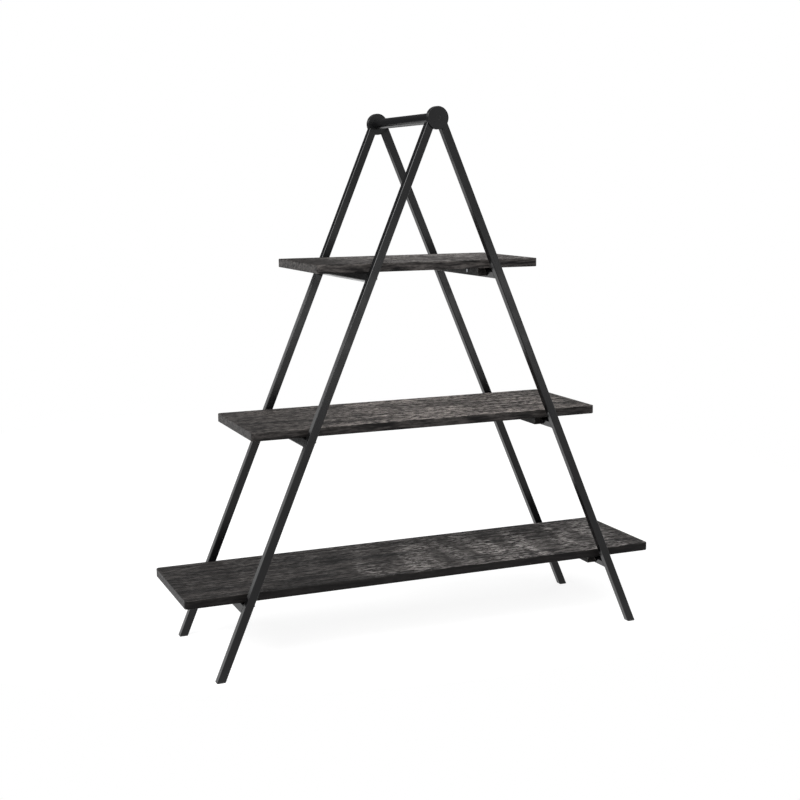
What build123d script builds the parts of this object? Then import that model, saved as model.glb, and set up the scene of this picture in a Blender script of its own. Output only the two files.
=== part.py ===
"""Folding A-frame shelf stand: two hinged steel ladder frames and three lift-off boards.

Frame of reference (mm): +Z up, the origin on the floor under the middle of the stand.
X runs along the boards, Y along the fold axis at the apex, and -Y is the front.

The stand has two identical welded frames. The right frame, turned half a turn about the
vertical, is the left frame, so each frame is drawn once in its own coordinates:
x runs outward across a leg, y up along the leg and z along the fold axis, all from the
fold axis. The inner face of every leg lies in the plane that holds the fold axis.
"""

import os
from math import cos, radians, sin, tan

from build123d import *

# Stand
AXIS_HEIGHT = 1255.0          # fold axis above the floor
LEG_ANGLE = 22.84             # each leg from the vertical, with the stand open
FRAME_WIDTH = 370.0           # over the outer faces of one frame's two legs

# Square tube of the legs and crossbars
TUBE = 19.0
TUBE_WALL = 1.5
TUBE_CORNER = 2.0             # outer corner radius
WELD_LEG = 4.0                # fillet weld where a crossbar meets a leg

# Hinge knuckles
DISC_RADIUS = 26.0
DISC_THICKNESS = 6.0
DISC_PROUD = 4.5              # how far the outer disc stands out past the face of its tube
RIM_EASE = 1.5                # rounding of a disc's rim
LAP_GAP = 1.0                 # between the two lapped discs, filled by the washer
LAP_CLEARANCE = 0.5           # between a disc's rim and the hollow that it turns in
NECK_LENGTH = 7.5             # solid neck between a disc and the end of its tube
RAMP_INSET = 4.5              # how far inside the disc's rim its ramp to the tube begins
PLUG_LENGTH = 28.0            # part of a knuckle that is driven into the tube
PLUG_CLEARANCE = 0.1          # each side, between a plug and the inside of a tube
PLUG_LEAD = 1.0               # chamfer at the end of a plug
PLUG_CORNER = 1.0             # rounding of a plug's long corners
PIN_DIAMETER = 10.0
PIN_LEAD = 1.0                # chamfer at the inner end of a hinge pin
RUNNING_CLEARANCE = 0.05      # radial, round a hinge pin
LAP_WASHER_DIAMETER = 30.0
RAIL_WASHER_DIAMETER = 24.0
WASHER_PLAY = 0.1             # each side of a thrust washer
WASHER_HOLE_PLAY = 0.3        # radial, round the pin in a washer

# Top rail
RAIL_DIAMETER = 25.0
RAIL_WALL = 1.5
BUSH_LENGTH = 20.0            # of the plug in each end of the rail

# Boards
BOARD_LENGTHS = {"bottom": 1214.0, "middle": 884.0, "top": 558.0}
BOARD_TOPS = {"bottom": 190.0, "middle": 560.0, "top": 930.0}
BOARD_DEPTH = 295.0
BOARD_THICKNESS = 20.0
BOARD_CORNER = 9.0            # radius of the four upright corners
BOARD_ARRIS = 1.5             # rounding of the long edges
BOARD_CLEARANCE = 0.3         # between a crossbar's top corner and the board

# Battens under the boards
BATTEN_LENGTH = 260.0
BATTEN_WIDTH = 17.0           # of its flat top
BATTEN_HEIGHT = 19.0

# Locating pins between battens and boards
DOWEL_DIAMETER = 6.0
DOWEL_RISE = 6.0              # above the batten
DOWEL_SEAT = 11.0             # into the batten
DOWEL_SPACING = 220.0         # between a batten's two pins
DOWEL_CLEARANCE = 0.3         # radial, in the board
DOWEL_HOLE_EXTRA = 2.0        # depth left free over a pin
DOWEL_LEAD = 0.8

# Screws that hold the battens to the crossbars
SCREW_DIAMETER = 4.0
SCREW_HEAD = 8.0
SCREW_LENGTH = 30.0
COUNTERSINK_ANGLE = 45.0      # of the head's cone, from the screw's axis
SCREW_SPACING = 140.0
SCREW_HOLE_CLEARANCE = 0.05   # radial
SCREW_HEAD_CLEARANCE = 0.1    # round the countersunk head

# Feet
FOOT_THICKNESS = 3.0
FOOT_PLUG_LENGTH = 22.0
FOOT_CHAMFER = 1.0

# Derived values
LEG_TILT = radians(LEG_ANGLE)
HALF_OUTER = FRAME_WIDTH / 2
HALF_INNER = HALF_OUTER - TUBE
LEG_CENTRE = HALF_OUTER - TUBE / 2         # middle of each leg, from the centre
HINGE_OUTER = HALF_OUTER + DISC_PROUD
LAP_PLANE = HINGE_OUTER - DISC_THICKNESS - LAP_GAP / 2
HINGE_INNER = LAP_PLANE - LAP_GAP / 2 - DISC_THICKNESS
NECK_RADIUS = DISC_RADIUS + NECK_LENGTH
HOLLOW_RADIUS = DISC_RADIUS + LAP_CLEARANCE
PLUG_WIDTH = TUBE - 2 * TUBE_WALL - 2 * PLUG_CLEARANCE
LEG_RUN = (AXIS_HEIGHT + TUBE) / cos(LEG_TILT) + TUBE
FOLD_AXIS = Axis((0, 0, AXIS_HEIGHT), (0, 1, 0))

SIDES = {"left": -1, "right": 1}
TIERS = ("bottom", "middle", "top")


def end_name(side: str, end: int) -> str:
    """Front or rear, for one end of a frame's own z direction."""
    return "front" if SIDES[side] * end > 0 else "rear"


def frame_plane(side: str, along: float = 0.0) -> Plane:
    """Plane square to the fold axis, x outward across the leg and y up along it."""
    sign = SIDES[side]
    return Plane(
        origin=(0, -sign * along, AXIS_HEIGHT),
        x_dir=(sign * cos(LEG_TILT), 0, sin(LEG_TILT)),
        z_dir=(0, -sign, 0),
    )


def section_plane(side: str, along: float, drop: float) -> Plane:
    """Plane across a leg at its centre line, facing down it, drop below the axis."""
    frame = frame_plane(side, along)
    return Plane(
        origin=frame.from_local_coords((TUBE / 2, -drop, 0)),
        x_dir=frame.x_dir,
        z_dir=-frame.y_dir,
    )


def board_underside(tier: str) -> float:
    """Height of the underside of one board."""
    return BOARD_TOPS[tier] - BOARD_THICKNESS


def crossbar_drop(tier: str) -> float:
    """Distance down the leg from the axis to the upper face of a crossbar."""
    corner = AXIS_HEIGHT + (TUBE - TUBE_CORNER) * sin(LEG_TILT) + TUBE_CORNER
    return (corner - board_underside(tier) + BOARD_CLEARANCE) / cos(LEG_TILT) - TUBE_CORNER


def inner_face_x(height: float) -> float:
    """Distance from the middle to the inner face of a leg at one height."""
    return (AXIS_HEIGHT - height) * tan(LEG_TILT)


def batten_inner_x(tier: str) -> float:
    """Distance from the middle to the inner face of a batten."""
    return inner_face_x(board_underside(tier)) - BATTEN_WIDTH


def dowel_x(tier: str) -> float:
    """Distance from the middle to the locating pins of one tier."""
    return batten_inner_x(tier) + BATTEN_WIDTH / 2


def save(builder: BuildPart, name: str) -> None:
    """Label one finished piece and write it as a STEP file."""
    builder.part.label = name
    export_step(builder.part, f"parts/{name}.step")


# ---------------------------------------------------------------- frames


def make_leg(side: str, end: int) -> None:
    """Square tube leg, hollowed round its knuckle and cut level above its foot."""
    along = end * LEG_CENTRE
    with BuildPart() as leg:
        with BuildSketch(section_plane(side, along, 0)):
            RectangleRounded(TUBE, TUBE, TUBE_CORNER)
            bore = TUBE - 2 * TUBE_WALL
            RectangleRounded(bore, bore, TUBE_CORNER - TUBE_WALL, mode=Mode.SUBTRACT)
        extrude(amount=LEG_RUN)
        with BuildSketch(frame_plane(side, along)):
            Circle(NECK_RADIUS)
        extrude(amount=TUBE, both=True, mode=Mode.SUBTRACT)
        split(bisect_by=Plane.XY.offset(FOOT_THICKNESS), keep=Keep.TOP)
    save(leg, f"{side}_{end_name(side, end)}_leg")


def make_foot(side: str, end: int) -> None:
    """Plastic glide: a pad as wide as the cut tube and a plug up inside it."""
    along = end * LEG_CENTRE
    plug_start = AXIS_HEIGHT / cos(LEG_TILT) - FOOT_PLUG_LENGTH
    with BuildPart() as foot:
        with BuildSketch(section_plane(side, along, plug_start)):
            RectangleRounded(TUBE, TUBE, TUBE_CORNER)
        extrude(amount=FOOT_PLUG_LENGTH + TUBE)
        split(bisect_by=Plane.XY.offset(FOOT_THICKNESS), keep=Keep.BOTTOM)
        with BuildSketch(section_plane(side, along, plug_start)):
            RectangleRounded(PLUG_WIDTH, PLUG_WIDTH, PLUG_CORNER)
        extrude(amount=FOOT_PLUG_LENGTH + TUBE)
        split(bisect_by=Plane.XY, keep=Keep.TOP)
        chamfer(foot.edges().group_by(Axis.Z)[0], FOOT_CHAMFER)
    save(foot, f"{side}_{end_name(side, end)}_foot")


def make_crossbar(side: str, tier: str) -> None:
    """Crossbar between the two legs of a frame, with the fillet welds under its ends."""
    drop = crossbar_drop(tier)
    frame = frame_plane(side)
    screw_height = board_underside(tier) - BATTEN_HEIGHT / 2
    with BuildPart() as bar:
        with BuildSketch(frame_plane(side, -HALF_INNER)):
            with Locations((TUBE / 2, -drop - TUBE / 2)):
                RectangleRounded(TUBE, TUBE, TUBE_CORNER)
                bore = TUBE - 2 * TUBE_WALL
                RectangleRounded(bore, bore, TUBE_CORNER - TUBE_WALL, mode=Mode.SUBTRACT)
        extrude(amount=2 * HALF_INNER)

        # Fillet welds under the bar: on top they are ground away, so that the board lies flat
        weld_plane = Plane(
            origin=frame.from_local_coords((TUBE_CORNER, 0, 0)),
            x_dir=frame.z_dir,
            z_dir=frame.x_dir,
        )
        under = drop + TUBE
        with BuildSketch(weld_plane):
            for end in (-1, 1):
                with BuildLine():
                    Polyline(
                        (end * HALF_INNER, under),
                        (end * (HALF_INNER - WELD_LEG), under),
                        (end * HALF_INNER, under + WELD_LEG),
                        close=True,
                    )
                make_face()
        extrude(amount=TUBE - 2 * TUBE_CORNER)

        hole_start = Plane.YZ.offset(SIDES[side] * batten_inner_x(tier))
        with BuildSketch(hole_start):
            with Locations((0, screw_height)):
                with GridLocations(SCREW_SPACING, 1, 2, 1):
                    Circle(SCREW_DIAMETER / 2 + SCREW_HOLE_CLEARANCE)
        extrude(amount=SIDES[side] * SCREW_LENGTH, mode=Mode.SUBTRACT)
    save(bar, f"{side}_{tier}_crossbar")


def make_knuckle(side: str, end: int) -> None:
    """Half-lap hinge knuckle: a disc, a neck that ends the tube and a plug driven into it.

    Both discs of a hinge lie near the outer faces of the legs, and each frame's disc is the
    one on its own +z side: the outer disc at one end of the frame and the inner disc at the
    other. An outer disc stands out past its tube, so a ramp runs from its face down to the
    tube. The neck is hollowed all round, so that the discs of the other frame turn inside it.
    """
    middle = end * LEG_CENTRE
    disc_start = end * LAP_PLANE + LAP_GAP / 2
    disc_face = disc_start + DISC_THICKNESS
    disc_middle = disc_start + DISC_THICKNESS / 2
    is_outer = end > 0
    bore = PIN_DIAMETER / 2 + (0 if is_outer else RUNNING_CLEARANCE)

    with BuildPart() as knuckle:
        # Neck: the outline of the tube, between the hollow and the arc that ends the tube
        with BuildSketch(section_plane(side, middle, 0)):
            RectangleRounded(TUBE, TUBE, TUBE_CORNER)
        extrude(amount=NECK_RADIUS + TUBE)
        with BuildSketch(frame_plane(side, middle)):
            Circle(NECK_RADIUS)
        extrude(amount=TUBE, both=True, mode=Mode.INTERSECT)
        with BuildSketch(frame_plane(side, middle)):
            Circle(HOLLOW_RADIUS)
        extrude(amount=TUBE, both=True, mode=Mode.SUBTRACT)

        # Web that joins the disc to the neck
        with BuildSketch(frame_plane(side, disc_start)):
            with Locations((TUBE / 2, -HOLLOW_RADIUS / 2)):
                Rectangle(TUBE - 2 * TUBE_CORNER, HOLLOW_RADIUS)
        extrude(amount=min(DISC_THICKNESS, middle + TUBE / 2 - disc_start))

        # Plug that is driven into the tube
        with BuildSketch(section_plane(side, middle, HOLLOW_RADIUS)):
            RectangleRounded(PLUG_WIDTH, PLUG_WIDTH, PLUG_CORNER)
        extrude(amount=NECK_LENGTH - LAP_CLEARANCE + PLUG_LENGTH)
        frame = frame_plane(side)
        plug_end = knuckle.faces().sort_by(Axis(frame.origin, -frame.y_dir))[-1]
        chamfer(plug_end.edges(), PLUG_LEAD)

        # Disc with an eased rim
        with BuildSketch(Plane.XY.offset(AXIS_HEIGHT)) as profile:
            with Locations((DISC_RADIUS / 2, -SIDES[side] * disc_middle)):
                Rectangle(DISC_RADIUS, DISC_THICKNESS)
            fillet(profile.vertices().group_by(Axis.X)[-1], RIM_EASE)
        revolve(axis=FOLD_AXIS)

        # Ramp from the face of an outer disc down to the face of the tube
        if is_outer:
            add_ramp(side, disc_start, disc_face, middle + TUBE / 2)

        # Bore for the hinge pin
        with BuildSketch(frame_plane(side, disc_start)):
            Circle(bore)
        extrude(amount=DISC_THICKNESS, mode=Mode.SUBTRACT)
    save(knuckle, f"{side}_{end_name(side, end)}_knuckle")


def add_ramp(side: str, disc_start: float, disc_face: float, tube_face: float) -> None:
    """Replace the leg's sector of an outer disc by one with a conical ramp."""
    ramp_start = DISC_RADIUS - RAMP_INSET
    sign = SIDES[side]
    with BuildPart(mode=Mode.PRIVATE) as sector:
        with BuildSketch(frame_plane(side, disc_start)):
            with Locations((TUBE / 2, -NECK_RADIUS / 2)):
                Rectangle(TUBE - 2 * TUBE_CORNER, NECK_RADIUS)
        extrude(amount=DISC_THICKNESS)
    with BuildPart(mode=Mode.PRIVATE) as ramp:
        with BuildSketch(Plane.XY.offset(AXIS_HEIGHT)):
            with BuildLine():
                Polyline(
                    (0, -sign * disc_start),
                    (NECK_RADIUS, -sign * disc_start),
                    (NECK_RADIUS, -sign * tube_face),
                    (ramp_start, -sign * disc_face),
                    (0, -sign * disc_face),
                    close=True,
                )
            make_face()
        revolve(axis=FOLD_AXIS)
        add(sector.part, mode=Mode.INTERSECT)
    add(sector.part, mode=Mode.SUBTRACT)
    add(ramp.part)


# ---------------------------------------------------------------- hinge


def make_round(name: str, start: float, stop: float, radius: float, bore: float = 0.0,
               lead: float = 0.0) -> None:
    """Turned piece on the fold axis, from start to stop along Y, with a chamfered stop."""
    with BuildPart() as turned:
        with BuildSketch(Plane.XY.offset(AXIS_HEIGHT)) as profile:
            with Locations(((radius + bore) / 2, (start + stop) / 2)):
                Rectangle(radius - bore, abs(stop - start))
            if lead:
                rim = profile.vertices().group_by(Axis.X)[-1].sort_by(Axis.Y)
                chamfer(rim[-1] if stop > start else rim[0], lead)
        revolve(axis=FOLD_AXIS)
    save(turned, name)


def make_hinge() -> None:
    """Top rail with a bush in each end, and the pins and washers of both hinges."""
    rail_front = -HINGE_INNER
    rail_rear = HINGE_INNER - LAP_GAP
    rail_bore = RAIL_DIAMETER / 2 - RAIL_WALL
    pin = PIN_DIAMETER / 2
    running = pin + RUNNING_CLEARANCE
    washer_bore = pin + WASHER_HOLE_PLAY
    washer_half = LAP_GAP / 2 - WASHER_PLAY

    make_round("top_rail", rail_front, rail_rear, RAIL_DIAMETER / 2, rail_bore)
    make_round("front_rail_bush", rail_front, rail_front + BUSH_LENGTH, rail_bore, running)
    make_round("rear_rail_bush", rail_rear, rail_rear - BUSH_LENGTH, rail_bore, pin)
    make_round("front_hinge_pin", -HINGE_OUTER, rail_front + BUSH_LENGTH, pin, lead=PIN_LEAD)
    make_round("rear_hinge_pin", HINGE_OUTER, rail_rear - BUSH_LENGTH, pin, lead=PIN_LEAD)

    washers = {
        "front_lap_washer": (-LAP_PLANE, LAP_WASHER_DIAMETER),
        "rear_lap_washer": (LAP_PLANE, LAP_WASHER_DIAMETER),
        "rail_washer": (HINGE_INNER - LAP_GAP / 2, RAIL_WASHER_DIAMETER),
    }
    for name, (centre, outer) in washers.items():
        make_round(name, centre - washer_half, centre + washer_half, outer / 2, washer_bore)


# ---------------------------------------------------------------- shelves


def make_batten(side: str, tier: str) -> None:
    """Wooden batten, bevelled to lie against the sloping inner face of its crossbar."""
    sign = SIDES[side]
    top = board_underside(tier)
    bottom = top - BATTEN_HEIGHT
    inner = batten_inner_x(tier)
    with BuildPart() as batten:
        with BuildSketch(Plane.XZ):
            with BuildLine():
                Polyline(
                    (sign * inner, top),
                    (sign * inner_face_x(top), top),
                    (sign * inner_face_x(bottom), bottom),
                    (sign * inner, bottom),
                    close=True,
                )
            make_face()
        extrude(amount=BATTEN_LENGTH / 2, both=True)

        # Seats of the two locating pins
        with BuildSketch(Plane.XY.offset(top)):
            with Locations((sign * dowel_x(tier), 0)):
                with GridLocations(1, DOWEL_SPACING, 1, 2):
                    Circle(DOWEL_DIAMETER / 2)
        extrude(amount=-DOWEL_SEAT, mode=Mode.SUBTRACT)

        # Countersunk screw holes through to the crossbar
        with BuildSketch(Plane.YZ.offset(sign * inner)):
            with Locations((0, top - BATTEN_HEIGHT / 2)):
                with GridLocations(SCREW_SPACING, 1, 2, 1):
                    Circle(SCREW_DIAMETER / 2 + SCREW_HOLE_CLEARANCE)
        extrude(amount=sign * SCREW_LENGTH, mode=Mode.SUBTRACT)
        with BuildSketch(Plane.YZ.offset(sign * inner)):
            with Locations((0, top - BATTEN_HEIGHT / 2)):
                with GridLocations(SCREW_SPACING, 1, 2, 1):
                    Circle(SCREW_HEAD / 2 + SCREW_HEAD_CLEARANCE)
        extrude(amount=sign * (SCREW_HEAD - SCREW_DIAMETER) / 2, taper=COUNTERSINK_ANGLE, mode=Mode.SUBTRACT)
    save(batten, f"{side}_{tier}_batten")


def make_batten_screws(side: str) -> None:
    """The countersunk screws of one frame, two in each batten."""
    sign = SIDES[side]
    with BuildPart() as screws:
        for tier in TIERS:
            height = board_underside(tier) - BATTEN_HEIGHT / 2
            with BuildSketch(Plane.YZ.offset(sign * batten_inner_x(tier))):
                with Locations((0, height)):
                    with GridLocations(SCREW_SPACING, 1, 2, 1):
                        Circle(SCREW_DIAMETER / 2)
            extrude(amount=sign * SCREW_LENGTH)
            with BuildSketch(Plane.YZ.offset(sign * batten_inner_x(tier))):
                with Locations((0, height)):
                    with GridLocations(SCREW_SPACING, 1, 2, 1):
                        Circle(SCREW_HEAD / 2)
            extrude(amount=sign * (SCREW_HEAD - SCREW_DIAMETER) / 2, taper=COUNTERSINK_ANGLE)
    save(screws, f"{side}_batten_screws")


def make_shelf_pins(side: str) -> None:
    """The locating pins of one frame, two standing up from each batten."""
    with BuildPart() as pins:
        for tier in TIERS:
            with BuildSketch(Plane.XY.offset(board_underside(tier) - DOWEL_SEAT)):
                with Locations((SIDES[side] * dowel_x(tier), 0)):
                    with GridLocations(1, DOWEL_SPACING, 1, 2):
                        Circle(DOWEL_DIAMETER / 2)
            extrude(amount=DOWEL_SEAT + DOWEL_RISE)
        tips = pins.faces().filter_by(Plane.XY).filter_by(lambda face: face.normal_at().Z > 0)
        chamfer(tips.edges(), DOWEL_LEAD)
    save(pins, f"{side}_shelf_pins")


def make_board(tier: str) -> None:
    """Board with round holes over the left pins and slots over the right ones.

    As the right frame swings in, its pins sink out of the board along an arc, and the
    slots are long enough towards the middle to let them go.
    """
    swing_out = DOWEL_RISE / tan(LEG_TILT) + DOWEL_DIAMETER
    hole = DOWEL_DIAMETER / 2 + DOWEL_CLEARANCE
    underside = board_underside(tier)
    with BuildPart() as board:
        with BuildSketch(Plane.XY.offset(underside)):
            RectangleRounded(BOARD_LENGTHS[tier], BOARD_DEPTH, BOARD_CORNER)
        extrude(amount=BOARD_THICKNESS)
        faces = board.faces().filter_by(Plane.XY)
        fillet(faces.edges(), BOARD_ARRIS)

        with BuildSketch(Plane.XY.offset(underside)):
            with Locations((-dowel_x(tier), 0)):
                with GridLocations(1, DOWEL_SPACING, 1, 2):
                    Circle(hole)
            with Locations((dowel_x(tier) - swing_out / 2, 0)):
                with GridLocations(1, DOWEL_SPACING, 1, 2):
                    SlotCenterToCenter(swing_out, 2 * hole)
        extrude(amount=DOWEL_RISE + DOWEL_HOLE_EXTRA, mode=Mode.SUBTRACT)
    save(board, f"{tier}_board")


def main() -> None:
    """Make every piece of the stand."""
    os.makedirs("parts", exist_ok=True)
    for side in SIDES:
        for end in (-1, 1):
            make_leg(side, end)
            make_foot(side, end)
            make_knuckle(side, end)
        for tier in TIERS:
            make_crossbar(side, tier)
            make_batten(side, tier)
        make_batten_screws(side)
        make_shelf_pins(side)
    make_hinge()
    for tier in TIERS:
        make_board(tier)


main()
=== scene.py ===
"""Studio scene of the folding A-frame shelf stand, in metres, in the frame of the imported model."""

import logging
import math
from dataclasses import dataclass, replace
from enum import Enum

import bmesh
import bpy
from mathutils import Matrix, Vector

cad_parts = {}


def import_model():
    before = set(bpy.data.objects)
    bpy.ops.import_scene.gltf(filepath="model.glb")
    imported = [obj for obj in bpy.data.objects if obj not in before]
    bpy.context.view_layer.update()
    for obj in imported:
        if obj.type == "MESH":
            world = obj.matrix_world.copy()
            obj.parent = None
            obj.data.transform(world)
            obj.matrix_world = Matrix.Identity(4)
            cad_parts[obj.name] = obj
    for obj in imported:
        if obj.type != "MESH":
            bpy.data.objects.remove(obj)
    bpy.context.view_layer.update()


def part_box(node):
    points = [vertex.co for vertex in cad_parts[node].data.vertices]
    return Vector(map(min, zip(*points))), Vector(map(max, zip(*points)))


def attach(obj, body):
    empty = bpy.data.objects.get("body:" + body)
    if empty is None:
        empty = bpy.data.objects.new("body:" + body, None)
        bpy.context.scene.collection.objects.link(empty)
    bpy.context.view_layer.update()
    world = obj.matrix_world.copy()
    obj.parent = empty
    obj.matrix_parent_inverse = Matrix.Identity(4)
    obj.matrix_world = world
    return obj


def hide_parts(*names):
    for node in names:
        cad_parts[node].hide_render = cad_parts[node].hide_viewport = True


log = logging.getLogger("shelf_stand")

Tree = bpy.types.NodeTree
Socket = bpy.types.NodeSocket
Point = tuple[float, float, float]

# What a finish gives its shader: the constants and the links, by the socket's name
Surface = tuple[dict[str, float], dict[str, Socket]]

MILLIMETRE = 0.001
SIDES = {"left": -1, "right": 1}
ENDS = ("front", "rear")
TIERS = ("bottom", "middle", "top")

# Sockets of the Mix node when it mixes colours, whose names are shared with its other modes
MIX_FACTOR = 0
MIX_FIRST = 6
MIX_SECOND = 7
MIX_RESULT = 2

# Sockets of the nodes whose inputs share one name
FIRST = 0
SECOND = 1
THIRD = 2

# sRGB curve: a straight foot up to a threshold, and a power above it
SRGB_THRESHOLD = 0.04045
SRGB_SLOPE = 12.92
SRGB_OFFSET = 0.055
SRGB_POWER = 2.4

# Part of a wave texture's coordinate that one wave takes up, at a scale of 1
WAVE_PERIOD = math.tau / 20

# Range that most of a noise texture's values lie in
NOISE_RANGE = (0.3, 0.7)

# Rays that the edge mask sends at each point
EDGE_SAMPLES = 8

WHITE = "#ffffff"


class Slot(Enum):
    """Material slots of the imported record."""

    STEEL = "powder_coated_steel"
    WOOD = "dark_stained_wood"
    PLASTIC = "black_plastic"
    ZINC = "zinc_plated_steel"


def linear(hex_colour: str) -> tuple[float, float, float, float]:
    """Convert a written sRGB colour to the linear colour that Blender works in.

    Args:
        hex_colour: Six hexadecimal digits, with or without a leading "#".

    Returns:
        Linear red, green and blue, and an alpha of 1.
    """
    channels = []
    for written in bytes.fromhex(hex_colour.lstrip("#")):
        value = written / 255
        if value <= SRGB_THRESHOLD:
            channels.append(value / SRGB_SLOPE)
        else:
            channels.append(((value + SRGB_OFFSET) / (1 + SRGB_OFFSET)) ** SRGB_POWER)
    return (*channels, 1.0)


def add_node(
    tree: Tree,
    kind: str,
    values: dict[str | int, object] | None = None,
    links: dict[str | int, Socket] | None = None,
    **settings: object,
) -> bpy.types.Node:
    """Add one node with its settings, the values of its sockets and the links into it.

    Args:
        tree: The node tree that the node joins.
        kind: Blender's name for the kind of node.
        values: Constant of each input socket, by the socket's name or number.
        links: Output socket that feeds each input, by the input's name or number.
        settings: Properties of the node itself.

    Returns:
        The new node.
    """
    node = tree.nodes.new(kind)
    for name, setting in settings.items():
        setattr(node, name, setting)
    for socket, value in (values or {}).items():
        node.inputs[socket].default_value = value
    for socket, source in (links or {}).items():
        tree.links.new(source, node.inputs[socket])
    return node


def bare_material(name: str) -> bpy.types.Material:
    """Create a node material that has no nodes yet.

    Args:
        name: Name of the material.

    Returns:
        The empty material.
    """
    material = bpy.data.materials.new(name)
    material.use_nodes = True
    material.node_tree.nodes.clear()
    return material


# ---------------------------------------------------------------- finishes


@dataclass(frozen=True)
class Fade:
    """A soft step from one result to another.

    Attributes:
        start: Value at which the step starts.
        stop: Value at which it ends, which may be the lower one.
        before: Result before the step.
        after: Result after it.
    """

    start: float
    stop: float
    before: float = 0.0
    after: float = 1.0

    def over(self, tree: Tree, source: Socket) -> Socket:
        """Turn a value into the step's result.

        Args:
            tree: The node tree that the node joins.
            source: The value that is read.

        Returns:
            The result.
        """
        values = {
            "From Min": self.start,
            "From Max": self.stop,
            "To Min": self.before,
            "To Max": self.after,
        }
        step = add_node(
            tree,
            "ShaderNodeMapRange",
            values,
            {"Value": source},
            interpolation_type="SMOOTHSTEP",
        )
        return step.outputs["Result"]


@dataclass(frozen=True)
class Grain:
    """Cloudy variation of a surface, whose features have a real size.

    Attributes:
        pitch: Size of the features along x, y and z, in millimetres.
        detail: Octaves of finer variation.
        roughness: Strength of the finer octaves.
    """

    pitch: Point
    detail: float = 3.0
    roughness: float = 0.5

    def noise(self, tree: Tree, place: Socket) -> Socket:
        """Spread the grain over a piece.

        Args:
            tree: The node tree that the nodes join.
            place: Coordinates on the piece, in metres.

        Returns:
            The variation, from 0 to 1 and mostly near 0.5.
        """
        scale = tuple(1 / (size * MILLIMETRE) for size in self.pitch)
        spread = add_node(tree, "ShaderNodeMapping", {"Scale": scale}, {"Vector": place})
        noise = add_node(
            tree,
            "ShaderNodeTexNoise",
            {"Scale": 1.0, "Detail": self.detail, "Roughness": self.roughness},
            {"Vector": spread.outputs["Vector"]},
        )
        return noise.outputs["Fac"]


def overlap(tree: Tree, *masks: Socket) -> Socket:
    """Find where several masks meet.

    Args:
        tree: The node tree that the nodes join.
        masks: The masks, which are multiplied together.

    Returns:
        The mask that is left.
    """
    result = masks[0]
    for mask in masks[1:]:
        result = add_node(
            tree, "ShaderNodeMath", links={FIRST: result, SECOND: mask}, operation="MULTIPLY"
        ).outputs["Value"]
    return result


def coated(tree: Tree, ground: Socket | str, *coats: tuple[Socket | str, Socket]) -> Socket:
    """Lay coats of colour over one another.

    Args:
        tree: The node tree that the nodes join.
        ground: The lowest colour, as a socket or as sRGB hex digits.
        coats: Colour of each coat from the lowest up, and how much of it shows.

    Returns:
        The colour that is seen.
    """
    seen = ground
    for colour, amount in coats:
        values = {}
        links = {MIX_FACTOR: amount}
        for socket, layer in ((MIX_FIRST, seen), (MIX_SECOND, colour)):
            if isinstance(layer, str):
                values[socket] = linear(layer)
            else:
                links[socket] = layer
        seen = add_node(tree, "ShaderNodeMix", values, links, data_type="RGBA").outputs[MIX_RESULT]
    return seen


def edge_mask(tree: Tree, radius: float, turned: Fade = Fade(1.0, 0.85)) -> Socket:
    """Find the edges of a piece, from 0 on the flat to about 1 at a sharp edge.

    Args:
        tree: The node tree that the nodes join.
        radius: Reach of the mask from the edge, in millimetres.
        turned: Cosine between the surface and its rounded copy, and what it counts for.

    Returns:
        The mask.
    """
    rounded = add_node(
        tree, "ShaderNodeBevel", {"Radius": radius * MILLIMETRE}, samples=EDGE_SAMPLES
    )
    surface = add_node(tree, "ShaderNodeNewGeometry")
    match = add_node(
        tree,
        "ShaderNodeVectorMath",
        links={FIRST: rounded.outputs["Normal"], SECOND: surface.outputs["Normal"]},
        operation="DOT_PRODUCT",
    )
    return turned.over(tree, match.outputs["Value"])


@dataclass(frozen=True)
class Finish:
    """A surface finish, made into a node material.

    Attributes:
        name: Name of the material.
        slot: Slot of the record that the finish stands for.
    """

    name: str
    slot: Slot

    def make(self) -> bpy.types.Material:
        """Create the material, with the finish's own nodes behind its shader.

        Returns:
            The finished material.
        """
        material = bare_material(self.name)
        tree = material.node_tree
        values, links = self.surface(tree)
        shader = add_node(tree, "ShaderNodeBsdfPrincipled", values, links)
        add_node(tree, "ShaderNodeOutputMaterial", links={"Surface": shader.outputs["BSDF"]})
        return material

    def surface(self, tree: Tree) -> Surface:
        """Constants and links of the shader, which each finish makes in its own way."""
        raise NotImplementedError


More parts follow.
